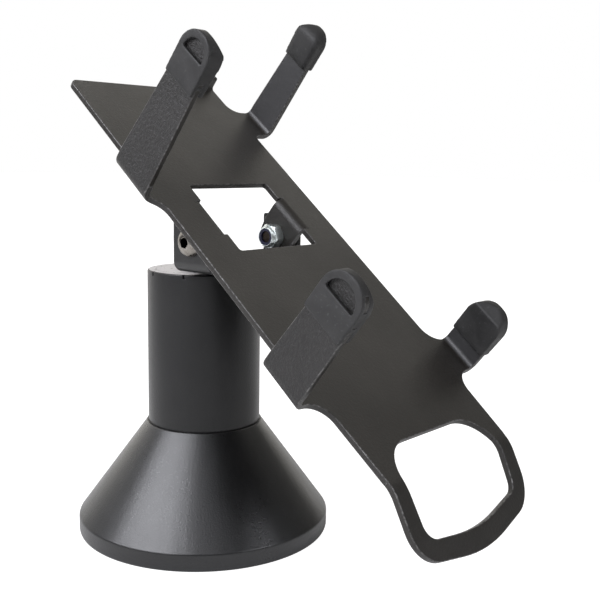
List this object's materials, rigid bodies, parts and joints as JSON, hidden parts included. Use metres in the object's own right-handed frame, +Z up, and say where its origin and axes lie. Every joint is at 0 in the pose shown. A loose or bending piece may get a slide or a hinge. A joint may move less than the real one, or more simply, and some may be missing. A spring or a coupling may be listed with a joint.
{
  "type": "payment terminal stand",
  "caption": "Counter stand that holds a hand-held card payment terminal: conical foot, column, swivel and tilt head, sheet cradle with rubber-tipped clips and a hand loop.",
  "frame": {"origin": "centre of the round foot, on the counter surface", "axes": "+Z up along the column, the cradle faces -Y, tilt axis along X"},
  "size_m": [0.0904, 0.1629, 0.1821],
  "materials": {
    "base_coat": "satin charcoal powder coat",
    "plug_metal": "satin coat on the column's top",
    "hidden_steel": "bare zinc-plated steel, hidden in the foot",
    "pad_foam": "double-sided foam pad",
    "spacer_plastic": "black nylon",
    "zinc": "bright zinc plating",
    "bracket_coat": "satin dark grey powder coat",
    "cradle_coat": "fine-textured dark grey powder coat",
    "cap_rubber": "moulded rubber",
    "nylon": "dark blue nylon locking ring"
  },
  "bodies": {
    "base": {"base_cone": "base_coat", "column_tube": "base_coat", "column_plug": "plug_metal", "mounting_disc": "hidden_steel", "adhesive_pad": "pad_foam", "centre_stud": "hidden_steel", "stud_nut": "hidden_steel", "swivel_spacer": "spacer_plastic", "swivel_washer": "zinc", "swivel_screw": "zinc"},
    "swivel": {"swivel_bracket": "bracket_coat"},
    "cradle": {"cradle_plate": "cradle_coat", "rubber_cap_upper_left": "cap_rubber", "rubber_cap_upper_right": "cap_rubber", "rubber_cap_lower_left": "cap_rubber", "rubber_cap_lower_right": "cap_rubber", "tilt_screw_left": "zinc", "tilt_screw_right": "zinc", "tilt_nut_left": "zinc", "tilt_nut_right": "zinc", "nut_insert_left": "nylon", "nut_insert_right": "nylon", "friction_washer_left": "spacer_plastic", "friction_washer_right": "spacer_plastic"}
  },
  "joints": [
    {"name": "swivel", "type": "hinge", "parent": "base", "child": "swivel", "pos_m": [0, 0, 0.0966], "axis": [0, 0, 1], "continuous": true},
    {"name": "tilt", "type": "hinge", "parent": "swivel", "child": "cradle", "pos_m": [0, -0.0175, 0.1057], "axis": [1, 0, 0], "range_deg": [-39.5, 12.5]}
  ]
}
